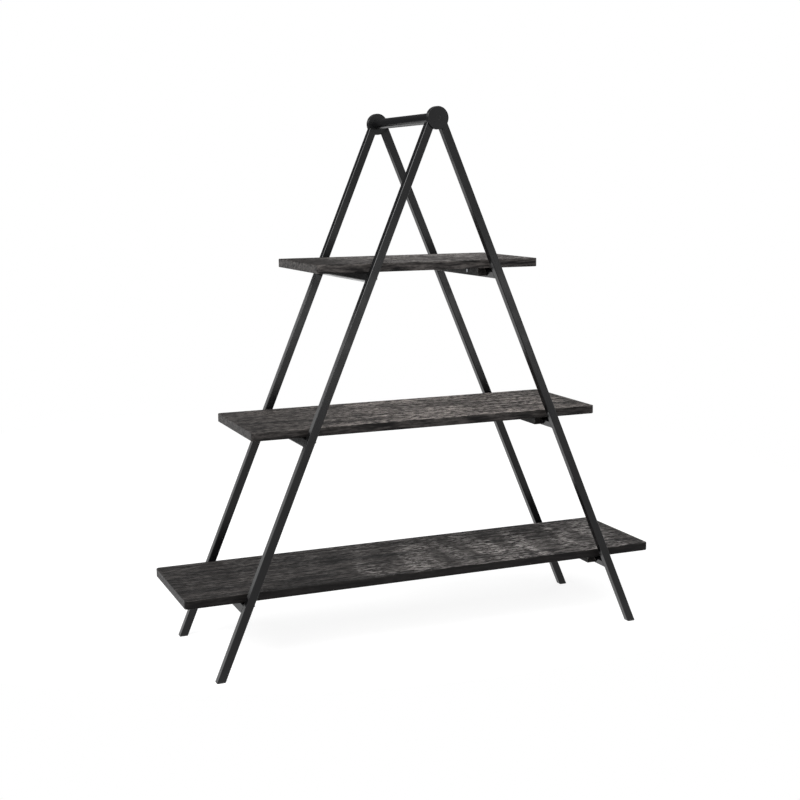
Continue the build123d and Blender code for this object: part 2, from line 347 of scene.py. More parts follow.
@dataclass(frozen=True)
class PowderCoat(Finish):
    """Satin black polyester powder coat, sprayed dry on steel and baked.

    The powder flows out into a faint orange peel, thins a little over the edges, where it is
    rubbed to a dull grey, and handling leaves it slightly uneven in gloss.

    Attributes:
        coat: Colour of the coat.
        rubbed: Colour of the coat where it is rubbed.
        ior: Index of refraction of the baked resin.
        specular: Strength of the sheen, where 0.5 is a flawless coat.
        gloss: Roughness, from the smears' low to their high.
        smears: Grain of the handling marks.
        scuffs: Grain of the rubbing along the edges.
        scuffed: Scuffs that show.
        peel: Grain of the orange peel, coarser than the real 1 mm, so that it shows.
        peel_height: Height of the orange peel, in millimetres.
        edge_reach: Width of the rubbed edge, in millimetres.
    """

    coat: str = "#0b0b0c"
    rubbed: str = "#383736"
    ior: float = 1.5
    specular: float = 0.25
    gloss: Fade = Fade(*NOISE_RANGE, 0.16, 0.28)
    smears: Grain = Grain((45.0, 45.0, 45.0))
    scuffs: Grain = Grain((9.0, 9.0, 9.0), detail=6.0)
    scuffed: Fade = Fade(0.42, 0.68)
    peel: Grain = Grain((2.2, 2.2, 2.2), detail=1.0)
    peel_height: float = 0.06
    edge_reach: float = 1.0

    def surface(self, tree: Tree) -> Surface:
        """Make the coat's colour, gloss and orange peel.

        Args:
            tree: The node tree that the nodes join.

        Returns:
            The shader's constants, and the sockets that feed it.
        """
        place = add_node(tree, "ShaderNodeTexCoord").outputs["Object"]
        scuffs = self.scuffed.over(tree, self.scuffs.noise(tree, place))
        edges = overlap(tree, edge_mask(tree, self.edge_reach), scuffs)
        relief = add_node(
            tree,
            "ShaderNodeBump",
            {"Strength": 1.0, "Distance": self.peel_height * MILLIMETRE},
            {"Height": self.peel.noise(tree, place)},
        )
        values = {"IOR": self.ior, "Specular IOR Level": self.specular}
        links = {
            "Base Color": coated(tree, self.coat, (self.rubbed, edges)),
            "Roughness": self.gloss.over(tree, self.smears.noise(tree, place)),
            "Normal": relief.outputs["Normal"],
        }
        return values, links


@dataclass(frozen=True)
class Timber:
    """What the nodes of one board read.

    Attributes:
        place: Coordinates in the log, in metres.
        rings: Growth rings, with the dark latewood near 1.
        fibres: Fibres of the wood.
        streaks: Long streaks along the grain.
        patches: Broad patches that the rubbing caught or missed.
        top: Mask of the sawn top.
        worn: How far the stain is rubbed back, with the painted reflection along the middle of each
            board's top.
    """

    place: Socket
    rings: Socket
    fibres: Socket
    streaks: Socket
    patches: Socket
    top: Socket
    worn: Socket


@dataclass(frozen=True)
class StainedPine(Finish):
    """Rough-sawn pine board, soaked in near-black stain and rubbed back.

    The growth rings of a flat-sawn board run as long tongues along its top, the saw leaves
    bands across it, and torn fibres that the rubbing caught stand out in a dry, warm grey. The
    planed edges stay plain, apart from their worn arrises, and carry a painted reflection of the
    front light: paler on the higher boards, darker on the bottom one.

    Attributes:
        offset: Place of the board in the log, in metres.
        pith: Heart of the log beside and below the board, in metres.
        turn: Turn of the grain about the vertical, in degrees.
        wear: How far the top is rubbed back, from 0 to 1.
        sheen_and_wear_middle: Middle of the most worn stretch along the board, which is also a
            painted reflection of the bright backdrop, in metres.
        sheen_and_wear_reach: Half the length of that stretch, in metres.
        sheen_and_wear_core: Share of the reach that is worn most.
        sheen_and_wear_ends: Wear that is left beyond the stretch, towards the board's darker ends.
        between_bands: Share of the torn fibres that show between the saw's bands.
        edge_painted_reflection: How pale the planed edges are beside the top, a painted reflection
            of the front light that the higher boards' edges catch more.
        edge_gloss: Roughness of the planed edges beside the top's.
        edge_reach: Width of the worn arrises, in millimetres.
        soaked: Wood that is full of stain.
        stained: Wood that took less of it.
        dry: Torn fibres that hold none.
        arris: Wood that is rubbed bare along the arrises.
        ior: Index of refraction of the dry stain.
        specular: Strength of the sheen, which open fibres all but take away.
        sawn: Upward share of the surface's normal that counts as the top.
        ring_pitch: Distance between growth rings, in millimetres.
        ring_stretch: How much a length along the log counts for the rings, beside one across.
        ring_lean: Lean of the log and its turn beside the board, in degrees.
        latewood: Part of each ring that is latewood.
        ring_fading: Grain of the stretches in which the rings fade.
        ringed: Stretches that show them.
        saw_mark_pitch: Distance between the ridges of the saw's teeth, in millimetres.
        ring_height: Height of the latewood beside the fibres'.
        saw_mark_height: Height of the saw's ridges beside the fibres'.
        relief_height: Height of the fibres, in millimetres.
        fibre: Grain of the fibres, coarser than the real 1 mm, so that it shows.
        streak: Grain of the long streaks.
        patch: Grain of the patches that the rubbing caught or missed.
        band: Grain of the bands that the saw left.
        patched: Patches that the rubbing caught.
        torn: Fibres that are torn.
        banded: Bands whose fibres are torn, with between_bands as its result before the step.
        torn_latewood: Rings whose fibres are torn, which the latewood withstands.
        torn_streaks: Streaks whose fibres are torn.
        arris_streaks: Streaks that are bare along the arrises.
        arris_patches: Patches that are bare along the arrises.
        pale_streaks: Streaks that took less stain.
        pale_sheen_and_wear: Wear, with the painted reflection that it carries, that thins the stain.
        pale_fibres: Fibres that took less stain.
        gloss: Roughness, from the fibres' low to their high.
    """

    offset: Point = (0.0, 0.0, 0.0)
    pith: tuple[float, float] = (0.02, 0.07)
    turn: float = 0.0
    wear: float = 1.0
    sheen_and_wear_middle: float = 0.0
    sheen_and_wear_reach: float = 0.6
    sheen_and_wear_core: float = 0.2
    sheen_and_wear_ends: float = 0.1
    between_bands: float = 0.2
    edge_painted_reflection: float = 0.6
    edge_gloss: float = 0.6
    edge_reach: float = 2.6
    soaked: str = "#100f0f"
    stained: str = "#55514f"
    dry: str = "#b8b3b0"
    arris: str = "#aaa39e"
    ior: float = 1.5
    specular: float = 0.08
    sawn: Fade = Fade(0.6, 0.95)

    # Growth rings and saw marks
    ring_pitch: float = 14.0
    ring_stretch: float = 0.12
    ring_lean: tuple[float, float] = (1.6, -0.9)
    latewood: Fade = Fade(0.35, 0.95)
    ring_fading: Grain = Grain((240.0, 50.0, 50.0))
    ringed: Fade = Fade(0.35, 0.60, 0.2)
    saw_mark_pitch: float = 5.0
    ring_height: float = 0.45
    saw_mark_height: float = 0.35
    relief_height: float = 0.5

    # Grain of the wood
    fibre: Grain = Grain((17.0, 4.6, 4.6), roughness=0.7)
    streak: Grain = Grain((80.0, 8.0, 8.0), detail=5.0, roughness=0.6)
    patch: Grain = Grain((260.0, 120.0, 120.0), detail=2.0)
    band: Grain = Grain((65.0, 240.0, 240.0))

    # Rubbed top: the patches that it caught, and the torn fibres in the bands that the saw left
    patched: Fade = Fade(0.35, 0.60, 0.5)
    torn: Fade = Fade(0.46, 0.60)
    banded: Fade = Fade(0.42, 0.58)
    torn_latewood: Fade = Fade(0.3, 0.9, 1.0, 0.35)
    torn_streaks: Fade = Fade(0.38, 0.52, 0.5)

    # Worn arrises
    arris_streaks: Fade = Fade(0.45, 0.58)
    arris_patches: Fade = Fade(0.35, 0.60, 0.2)

    # Wood that took less stain, and the painted reflection that the wear carries
    pale_streaks: Fade = Fade(0.36, 0.62)
    pale_sheen_and_wear: Fade = Fade(0.0, 0.8, 0.5)
    pale_fibres: Fade = Fade(0.35, 0.60, 0.35)
    gloss: Fade = Fade(*NOISE_RANGE, 0.85, 0.6)

    def surface(self, tree: Tree) -> Surface:
        """Make the board's colour, roughness and sawn relief.

        Args:
            tree: The node tree that the nodes join.

        Returns:
            The shader's constants, and the sockets that feed it.
        """
        timber = self.timber(tree)
        relief = add_node(
            tree,
            "ShaderNodeBump",
            {"Strength": 1.0, "Distance": self.relief_height * MILLIMETRE},
            {"Height": self.height(tree, timber)},
        )
        roughness = overlap(
            tree,
            self.gloss.over(tree, timber.fibres),
            Fade(0.0, 1.0, self.edge_gloss).over(tree, timber.top),
        )
        values = {"IOR": self.ior, "Specular IOR Level": self.specular}
        links = {
            "Base Color": self.colour(tree, timber),
            "Roughness": roughness,
            "Normal": relief.outputs["Normal"],
        }
        return values, links

    def timber(self, tree: Tree) -> Timber:
        """Grow the board's grain and rub its top.

        Args:
            tree: The node tree that the nodes join.

        Returns:
            The grain and the wear.
        """
        coordinates = add_node(tree, "ShaderNodeTexCoord")
        stand = coordinates.outputs["Object"]
        place = add_node(
            tree,
            "ShaderNodeMapping",
            {"Location": self.offset, "Rotation": (0.0, 0.0, math.radians(self.turn))},
            {"Vector": stand},
        ).outputs["Vector"]
        upward = add_node(
            tree, "ShaderNodeSeparateXYZ", links={"Vector": coordinates.outputs["Normal"]}
        ).outputs["Z"]
        patches = self.patch.noise(tree, place)
        worn = overlap(
            tree,
            # Part real wear, part painted reflection: paler along the middle of each board, darker
            # towards its ends
            self.sheen_and_wear_stretch(tree, stand),
            self.patched.over(tree, patches),
            replace(self.sawn, after=self.wear).over(tree, upward),
        )
        return Timber(
            place=place,
            rings=self.rings(tree, place),
            fibres=self.fibre.noise(tree, place),
            streaks=self.streak.noise(tree, place),
            patches=patches,
            top=self.sawn.over(tree, upward),
            worn=worn,
        )

    def colour(self, tree: Tree, timber: Timber) -> Socket:
        """Stain the board, then bare its torn fibres and its arrises.

        Args:
            tree: The node tree that the nodes join.
            timber: Grain and wear of the board.

        Returns:
            The board's colour.
        """
        bands = replace(self.banded, before=self.between_bands)
        # Paler stain, with painted reflection on the edges and along the worn middle of the top
        pale_stain_and_sheen = overlap(
            tree,
            self.pale_streaks.over(tree, timber.streaks),
            self.pale_sheen_and_wear.over(tree, timber.worn),
            self.pale_fibres.over(tree, timber.fibres),
            # Painted reflection: the edges pale or darken by board, for the front light that the
            # higher boards' edges catch
            Fade(0.0, 1.0, self.edge_painted_reflection).over(tree, timber.top),
        )
        # The torn fibres follow the worn mask, so they also gather in the painted reflection along
        # the board's middle
        torn = overlap(
            tree,
            timber.worn,
            self.torn.over(tree, timber.fibres),
            bands.over(tree, self.band.noise(tree, timber.place)),
            self.torn_latewood.over(tree, timber.rings),
            self.torn_streaks.over(tree, timber.streaks),
        )
        arrises = overlap(
            tree,
            edge_mask(tree, self.edge_reach),
            self.arris_streaks.over(tree, timber.streaks),
            self.arris_patches.over(tree, timber.patches),
        )
        return coated(
            tree,
            self.soaked,
            (self.stained, pale_stain_and_sheen),
            (self.soaked, overlap(tree, timber.rings, timber.top)),
            (self.dry, torn),
            (self.arris, arrises),
        )

    def sheen_and_wear_stretch(self, tree: Tree, place: Socket) -> Socket:
        """Find how far the stain is rubbed back along the board, partly real wear and partly a
        painted reflection of the backdrop.

        Args:
            tree: The node tree that the nodes join.
            place: Coordinates in the stand's own frame, in metres.

        Returns:
            The wear and painted reflection, from sheen_and_wear_ends near the board's ends to 1.
        """
        along = add_node(tree, "ShaderNodeSeparateXYZ", links={"Vector": place}).outputs["X"]
        aside = add_node(
            tree,
            "ShaderNodeMath",
            {SECOND: self.sheen_and_wear_middle},
            {FIRST: along},
            operation="SUBTRACT",
        ).outputs["Value"]
        distance = add_node(
            tree, "ShaderNodeMath", links={FIRST: aside}, operation="ABSOLUTE"
        ).outputs["Value"]
        stretch = Fade(self.sheen_and_wear_reach, self.sheen_and_wear_core * self.sheen_and_wear_reach, self.sheen_and_wear_ends)
        return stretch.over(tree, distance)

    def rings(self, tree: Tree, place: Socket) -> Socket:
        """Grow the rings about the pith.

        Args:
            tree: The node tree that the nodes join.
            place: Coordinates in the log, in metres.

        Returns:
            The rings, with the dark latewood near 1.
        """
        lean, swing = self.ring_lean
        heart = add_node(
            tree,
            "ShaderNodeMapping",
            {
                "Location": (0.0, *self.pith),
                "Rotation": (0.0, math.radians(lean), math.radians(swing)),
                "Scale": (self.ring_stretch, 1.0, 1.0),
            },
            {"Vector": place},
        )
        wave = add_node(
            tree,
            "ShaderNodeTexWave",
            {
                "Scale": WAVE_PERIOD / (self.ring_pitch * MILLIMETRE),
                "Distortion": 9.0,
                "Detail": 3.0,
                "Detail Scale": 0.3,
                "Detail Roughness": 0.55,
            },
            {"Vector": heart.outputs["Vector"]},
            wave_type="RINGS",
            rings_direction="X",
            wave_profile="SAW",
        )
        shown = self.ringed.over(tree, self.ring_fading.noise(tree, place))
        return overlap(tree, self.latewood.over(tree, wave.outputs["Fac"]), shown)

    def height(self, tree: Tree, timber: Timber) -> Socket:
        """Raise the fibres and the latewood everywhere, and the saw's ridges on the top.

        Args:
            tree: The node tree that the nodes join.
            timber: Grain and wear of the board.

        Returns:
            The height, where the fibres alone reach 1.
        """
        marks = add_node(
            tree,
            "ShaderNodeTexWave",
            {
                "Scale": WAVE_PERIOD / (self.saw_mark_pitch * MILLIMETRE),
                "Distortion": 2.5,
                "Detail": 2.0,
                "Detail Scale": 0.2,
            },
            {"Vector": timber.place},
            wave_type="BANDS",
            bands_direction="X",
        )
        height = timber.fibres
        for layer, share in (
            (timber.rings, self.ring_height),
            (overlap(tree, timber.top, marks.outputs["Fac"]), self.saw_mark_height),
        ):
            height = add_node(
                tree,
                "ShaderNodeMath",
                {SECOND: share},
                {FIRST: layer, THIRD: height},
                operation="MULTIPLY_ADD",
            ).outputs["Value"]
        return height


@dataclass(frozen=True)
class MouldedPlastic(Finish):
    """Injection-moulded black polyethylene, spark-eroded to an even matt grain.

    The grain breaks the light up into a soft sheen, and the feet's edges are scuffed grey.

    Attributes:
        body: Colour of the plastic.
        scuffed: Colour of its scuffed edges.
        ior: Index of refraction of polyethylene.
        scuffs: Grain of the scuffs.
        rubbed: Scuffs that show.
        edge_reach: Width of the scuffed edge, in millimetres.
        sheen: Roughness, from the scuffs' low to their high.
        texture: Grain of the mould, coarser than the real 0.2 mm, so that it shows.
        texture_height: Height of that grain, in millimetres.
    """

    body: str = "#151516"
    scuffed: str = "#343434"
    ior: float = 1.51
    scuffs: Grain = Grain((6.0, 6.0, 6.0), detail=6.0)
    rubbed: Fade = Fade(0.45, 0.65)
    edge_reach: float = 1.0
    sheen: Fade = Fade(*NOISE_RANGE, 0.5, 0.65)
    texture: Grain = Grain((0.8, 0.8, 0.8), detail=1.0)
    texture_height: float = 0.03

    def surface(self, tree: Tree) -> Surface:
        """Make the plastic's colour, sheen and moulded grain.

        Args:
            tree: The node tree that the nodes join.

        Returns:
            The shader's constants, and the sockets that feed it.
        """
        place = add_node(tree, "ShaderNodeTexCoord").outputs["Object"]
        scuffs = self.scuffs.noise(tree, place)
        edges = overlap(tree, edge_mask(tree, self.edge_reach), self.rubbed.over(tree, scuffs))
        relief = add_node(
            tree,
            "ShaderNodeBump",
            {"Distance": self.texture_height * MILLIMETRE},
            {"Height": self.texture.noise(tree, place)},
        )
        links = {
            "Base Color": coated(tree, self.body, (self.scuffed, edges)),
            "Roughness": self.sheen.over(tree, scuffs),
            "Normal": relief.outputs["Normal"],
        }
        return {"IOR": self.ior}, links


@dataclass(frozen=True)
class ZincPlate(Finish):
    """Bright zinc plating on turned steel, with a thin, cloudy passivation.

    The clouds dull the plating unevenly, and turning leaves it finely scratched.

    Attributes:
        bright: Colour of the bare plating.
        cloudy: Colour under the passivation.
        clouds: Grain of the passivation.
        clouded: How much of it shows.
        sheen: Roughness, from clear plating to clouds.
        scratches: Grain of the turning marks, coarser than the real 0.1 mm, so that they show.
        scratch_height: Their height, in millimetres.
    """

    bright: str = "#b9bcc0"
    cloudy: str = "#8f9296"
    clouds: Grain = Grain((3.0, 3.0, 3.0))
    clouded: Fade = Fade(*NOISE_RANGE)
    sheen: Fade = Fade(*NOISE_RANGE, 0.28, 0.45)
    scratches: Grain = Grain((6.0, 0.35, 0.35), detail=2.0)
    scratch_height: float = 0.01

    def surface(self, tree: Tree) -> Surface:
        """Make the plating's colour, cloudiness and fine scratches.

        Args:
            tree: The node tree that the nodes join.

        Returns:
            The shader's constants, and the sockets that feed it.
        """
        place = add_node(tree, "ShaderNodeTexCoord").outputs["Object"]
        clouds = self.clouds.noise(tree, place)
        relief = add_node(
            tree,
            "ShaderNodeBump",
            {"Distance": self.scratch_height * MILLIMETRE},
            {"Height": self.scratches.noise(tree, place)},
        )
        colour = coated(tree, self.bright, (self.cloudy, self.clouded.over(tree, clouds)))
        links = {
            "Base Color": colour,
            "Roughness": self.sheen.over(tree, clouds),
            "Normal": relief.outputs["Normal"],
        }
        return {"Metallic": 1.0}, links


# Black steel of both frames and of the hinge
STEEL_COAT = PowderCoat("satin_black_powder_coat", Slot.STEEL)

# Feet
FOOT_PLASTIC = MouldedPlastic("matt_black_polyethylene", Slot.PLASTIC)

# Screws, washers, bushes and locating pins
ZINC = ZincPlate("zinc_plated_steel", Slot.ZINC)

# Boards, each from another part of the log, with a painted reflection on their edges: paler on the
# higher boards, darker on the bottom one
# Each board's paler worn middle is partly a painted reflection of the backdrop
BOARD_WOOD = {
    "bottom": StainedPine(
        "stained_pine_bottom",
        Slot.WOOD,
        offset=(0.55, 0.02, 0.0),
        sheen_and_wear_middle=0.28,
        sheen_and_wear_reach=0.6,
        edge_painted_reflection=0.2,
    ),
    "middle": StainedPine(
        "stained_pine_middle",
        Slot.WOOD,
        offset=(1.71, 0.31, 0.2),
        pith=(-0.03, 0.05),
        dry="#b9b0aa",
        sheen_and_wear_middle=0.08,
        sheen_and_wear_reach=0.55,
        between_bands=0.7,
        edge_painted_reflection=1.1,
    ),
    "top": StainedPine(
        "stained_pine_top",
        Slot.WOOD,
        offset=(3.4, 0.7, 0.5),
        pith=(0.05, 0.09),
        sheen_and_wear_middle=0.1,
        sheen_and_wear_reach=0.36,
        between_bands=0.6,
        edge_painted_reflection=1.8,
    ),
}

# Battens, whose grain runs along the fold axis
BATTEN_WOOD = StainedPine("stained_pine_battens", Slot.WOOD, turn=90.0, wear=0.3, dry="#4a4542")


# ---------------------------------------------------------------- pieces


def place_object(name: str, data: bpy.types.ID) -> bpy.types.Object:
    """Put a mesh, a lamp or a camera into the scene.

    Args:
        name: Name of the object.
        data: What it shows.

    Returns:
        The new object.
    """
    placed = bpy.data.objects.new(name, data)
    bpy.context.scene.collection.objects.link(placed)
    return placed


def dress_node(name: str, material: bpy.types.Material) -> None:
    """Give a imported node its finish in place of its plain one.

    Args:
        name: Name of the node.
        material: Its finish.
    """
    mesh = bpy.data.objects[name].data
    mesh.materials.clear()
    mesh.materials.append(material)
    log.info("%s is finished in %s", name, material.name)


def add_piece(
    name: str,
    mesh: bpy.types.Mesh,
    material: bpy.types.Material,
    body: str,
) -> bpy.types.Object:
    """Add a finished piece that moves with one body.

    Args:
        name: Name of the piece.
        mesh: Its mesh, in place.
        material: Its finish.
        body: Body that carries the piece.

    Returns:
        The new object.
    """
    mesh.materials.append(material)
    piece = place_object(name, mesh)
    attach(piece, body)
    log.info("%s rides on %s", name, body)
    return piece


def keep_mesh(name: str, mesh: bmesh.types.BMesh) -> bpy.types.Mesh:
    """Turn a working mesh into a mesh that objects can show.

    Args:
        name: Name of the new mesh.
        mesh: The working mesh, which is freed.

    Returns:
        The new mesh.
    """
    kept = bpy.data.meshes.new(name)
    mesh.to_mesh(kept)
    mesh.free()
    return kept


def shell_mesh(name: str, mesh: bmesh.types.BMesh, smooth: bool = False) -> bpy.types.Mesh:
    """Turn a working mesh of closed shells into a mesh whose faces all look outward.

    Args:
        name: Name of the new mesh.
        mesh: The working mesh, which is freed.
        smooth: Whether its faces are shaded as round surfaces.

    Returns:
        The new mesh.
    """
    bmesh.ops.recalc_face_normals(mesh, faces=mesh.faces)
    for face in mesh.faces:
        face.smooth = smooth
    return keep_mesh(name, mesh)


# ---------------------------------------------------------------- welds


@dataclass(frozen=True)
class StraightSeam:
    """Seam that runs straight from one point to another.

    Attributes:
        start: Place of its start, in metres.
        end: Place of its end, in metres.
        closed: Whether the seam meets itself again.
    """

    start: Vector
    end: Vector
    closed: bool = False

    @property
    def length(self) -> float:
        """Length of the seam, in metres."""
        return (self.end - self.start).length

    def point(self, share: float) -> Vector:
        """Place on the seam at a share of its length."""
        return self.start.lerp(self.end, share)


@dataclass(frozen=True)
class RoundSeam:
    """Seam round the end of a bar that runs along Y.

    Attributes:
        centre: Middle of the seam, in metres.
        radius: Radius of the seam, in metres.
        closed: Whether the seam meets itself again.
    """

    centre: Point
    radius: float
    closed: bool = True

    @property
    def length(self) -> float:
        """Length of the seam, in metres."""
        return math.tau * self.radius

    def point(self, share: float) -> Vector:
        """Find a place on the seam.

        Args:
            share: Share of the seam's length at which the place lies.

        Returns:
            The place, in metres.
        """
        x, y, z = self.centre
        angle = math.tau * share
        return Vector((x + self.radius * math.cos(angle), y, z + self.radius * math.sin(angle)))


@dataclass(frozen=True)
class WeldBead:
    """A convex weld bead with the scallops that a MIG torch leaves.

    Attributes:
        radius: Radius of the bead's round section, in millimetres.
        scallop: Spacing of the scallops, in millimetres.
        depth: Depth of the grooves between scallops, in millimetres.
        fewest: Fewest scallops of a short bead.
        sides: Corners of the round section.
        steps: Rings of vertices in each scallop.
        probe: Share of a step, to both sides, over which the seam's direction is read.
        end_width: Width of an open bead at its ends beside its middle.
        end_growth: How steeply the width grows from there along the whole length.
    """

    radius: float = 2.4
    scallop: float = 2.6
    depth: float = 0.35
    fewest: int = 3
    sides: int = 12
    steps: int = 6
    probe: float = 0.25
    end_width: float = 0.35
    end_growth: float = 6.0

    def lay(self, mesh: bmesh.types.BMesh, seam: StraightSeam | RoundSeam) -> None:
        """Lay the bead along a seam.

        Args:
            mesh: The mesh that the bead joins.
            seam: Where the middle of the bead runs.
        """
        scallops = max(self.fewest, round(seam.length / (self.scallop * MILLIMETRE)))
        count = scallops * self.steps
        rings = []
        for index in range(count if seam.closed else count + 1):
            share = index / count
            ahead = seam.point(share + self.probe / count)
            behind = seam.point(share - self.probe / count)
            along = (ahead - behind).normalized()
            across = along.orthogonal().normalized()
            over = along.cross(across)
            radius = self.radius_at(share, scallops, seam.closed)
            ring = []
            for corner in range(self.sides):
                angle = math.tau * corner / self.sides
                offset = across * math.cos(angle) + over * math.sin(angle)
                ring.append(mesh.verts.new(seam.point(share) + offset * radius))
            rings.append(ring)
        following = rings[1:] + rings[:1] if seam.closed else rings[1:]
        for ring, neighbour in zip(rings, following):
            self.join(mesh, ring, neighbour)
        if not seam.closed:
            mesh.faces.new(reversed(rings[0]))
            mesh.faces.new(rings[-1])

    def radius_at(self, share: float, scallops: int, closed: bool) -> float:
        """Find the bead's radius between its scallops and near its ends.

        Args:
            share: Share of the seam's length at which it is measured.
            scallops: Number of scallops on the seam.
            closed: Whether the seam meets itself again, and so has no ends.

        Returns:
            The radius, in metres.
        """
        swell = abs(math.sin(math.pi * scallops * share))
        width = 1.0
        if not closed:
            width = min(1.0, self.end_width + self.end_growth * min(share, 1 - share))
        return (self.radius - self.depth * (1 - swell)) * width * MILLIMETRE

    def join(
        self,
        mesh: bmesh.types.BMesh,
        ring: list[bmesh.types.BMVert],
        neighbour: list[bmesh.types.BMVert],
    ) -> None:
        """Join two rings of vertices with faces, matching the nearest corners.

        Args:
            mesh: The mesh that both rings are in.
            ring: Corners of one ring.
            neighbour: Corners of the next ring.
        """
        gaps = [(corner.co - ring[0].co).length for corner in neighbour]
        start = gaps.index(min(gaps))
        for corner in range(self.sides):
            following = (corner + 1) % self.sides
            mesh.faces.new(
                (
                    ring[corner],
                    ring[following],
                    neighbour[(start + following) % self.sides],
                    neighbour[(start + corner) % self.sides],
                )
            )


# ---------------------------------------------------------------- stand


@dataclass
class LadderFrame:
    """One welded frame: two legs with their knuckles and feet, and three crossbars.

    Attributes:
        side: Side of the stand, left or right.
        tube: Width of the square tube, in metres.
        corner: Outer corner radius of the tube, in metres.
        tilt: Each leg from the vertical, in degrees.
        bead: Bead along each end of a crossbar.
    """

    side: str
    tube: float = 0.019
    corner: float = 0.002
    tilt: float = 22.84
    bead: WeldBead = WeldBead()

    @property
    def body(self) -> str:
        """Body that the frame belongs to."""
        return f"{self.side}_frame"

    def place(self, across: float, along: float, down: float) -> Vector:
        """Find a point of the frame from its distances to the fold axis.

        Args:
            across: Distance outward across the leg, in metres.
            along: Distance along the fold axis towards the rear, in metres.
            down: Distance down the leg, in metres.

        Returns:
            The point in the stand's own frame.
        """
        sign = SIDES[self.side]
        tilt = math.radians(self.tilt)
        low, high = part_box("front_hinge_pin")
        height = (low.z + high.z) / 2
        return Vector(
            (
                sign * (across * math.cos(tilt) + down * math.sin(tilt)),
                along,
                height + across * math.sin(tilt) - down * math.cos(tilt),
            )
        )

    def crossbar_drop(self, tier: str) -> float:
        """Find how far down the leg the upper face of a crossbar lies.

        Args:
            tier: Board that the crossbar carries.

        Returns:
            The distance from the fold axis, in metres.
        """
        tilt = math.radians(self.tilt)
        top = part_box(f"{self.side}_{tier}_crossbar")[1].z
        flat = self.tube - self.corner
        height = self.place(0, 0, 0).z
        return (height + flat * math.sin(tilt) + self.corner - top) / math.cos(tilt) - self.corner

    def dress(self, steel: bpy.types.Material, plastic: bpy.types.Material) -> None:
        """Give the legs, knuckles, crossbars and feet their finishes.

        Args:
            steel: Finish of the steel.
            plastic: Finish of the feet.
        """
        for end in ENDS:
            dress_node(f"{self.side}_{end}_leg", steel)
            dress_node(f"{self.side}_{end}_knuckle", steel)
            dress_node(f"{self.side}_{end}_foot", plastic)
        for tier in TIERS:
            dress_node(f"{self.side}_{tier}_crossbar", steel)

    def weld(self, steel: bpy.types.Material) -> None:
        """Lay the beads that hold each crossbar between the legs.

        Args:
            steel: Finish that coats the beads.
        """
        mesh = bmesh.new()
        for tier in TIERS:
            drop = self.crossbar_drop(tier)
            low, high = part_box(f"{self.side}_{tier}_crossbar")
            for along in (low.y, high.y):
                inner = self.place(self.corner, along, drop)
                outer = self.place(self.tube - self.corner, along, drop)
                self.bead.lay(mesh, StraightSeam(inner, outer))
        name = f"{self.side}_crossbar_welds"
        add_piece(name, shell_mesh(name, mesh, smooth=True), steel, self.body)


@dataclass
class Hinge:
    """Top rail with its bushes, pins and washers.

    Attributes:
        body: Body that carries the rail.
        bead: Bead that joins the rail to the left knuckle.
        coated_nodes: Nodes that are coated together with the frames.
        plated_nodes: Nodes that show their bare plating.
    """

    body: str = "left_frame"
    bead: WeldBead = WeldBead(radius=2.0)
    coated_nodes: tuple[str, ...] = ("top_rail", "front_hinge_pin", "rear_hinge_pin")
    plated_nodes: tuple[str, ...] = (
        "front_rail_bush",
        "rear_rail_bush",
        "front_lap_washer",
        "rear_lap_washer",
        "rail_washer",
    )

    def dress(self, steel: bpy.types.Material, zinc: bpy.types.Material) -> None:
        """Give the rail and the pins their coat, and the bushes and washers their plating.

        Args:
            steel: Finish of the coated nodes.
            zinc: Finish of the plated nodes.
        """
        for name in self.coated_nodes:
            dress_node(name, steel)
        for name in self.plated_nodes:
            dress_node(name, zinc)

    def weld(self, steel: bpy.types.Material) -> None:
        """Lay the ring of weld where the rail meets the knuckle of its own frame.

        Args:
            steel: Finish that coats the bead.
        """
        low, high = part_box("top_rail")
        mesh = bmesh.new()
        self.bead.lay(mesh, RoundSeam((0.0, low.y, (low.z + high.z) / 2), (high.z - low.z) / 2))
        name = "top_rail_weld"
        add_piece(name, shell_mesh(name, mesh, smooth=True), steel, self.body)


@dataclass
class Shelf:
    """One board with the two battens that it stands on.

    Attributes:
        tier: Bottom, middle or top.
    """

    tier: str

    def dress(self, board: bpy.types.Material, batten: bpy.types.Material) -> None:
        """Give the board and its battens their wood.

        Args:
            board: Finish of the board.
            batten: Finish of the battens.
        """
        dress_node(f"{self.tier}_board", board)
        for side in SIDES:
            dress_node(f"{side}_{self.tier}_batten", batten)


